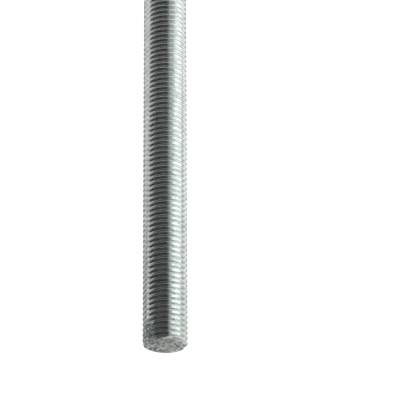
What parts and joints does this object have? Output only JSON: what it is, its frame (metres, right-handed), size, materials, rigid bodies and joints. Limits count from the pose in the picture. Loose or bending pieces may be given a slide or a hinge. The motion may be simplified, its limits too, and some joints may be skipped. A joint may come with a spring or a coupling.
{
  "type": "threaded rod",
  "caption": "Straight steel bar with a right-hand metric thread from end to end and a small chamfer at each square-cut end.",
  "frame": {"origin": "centre of the lower end face", "axes": "+Z along the rod's axis, from the lower end to the upper end; +X and +Y square to it"},
  "size_m": [0.024, 0.024, 0.25],
  "materials": {
    "zinc_plated_steel": "bright zinc plating, semi-gloss, with a cool grey tint; end faces sawn, plated and mottled"
  },
  "bodies": {
    "root": {"threaded_rod": "zinc_plated_steel"}
  },
  "joints": []
}
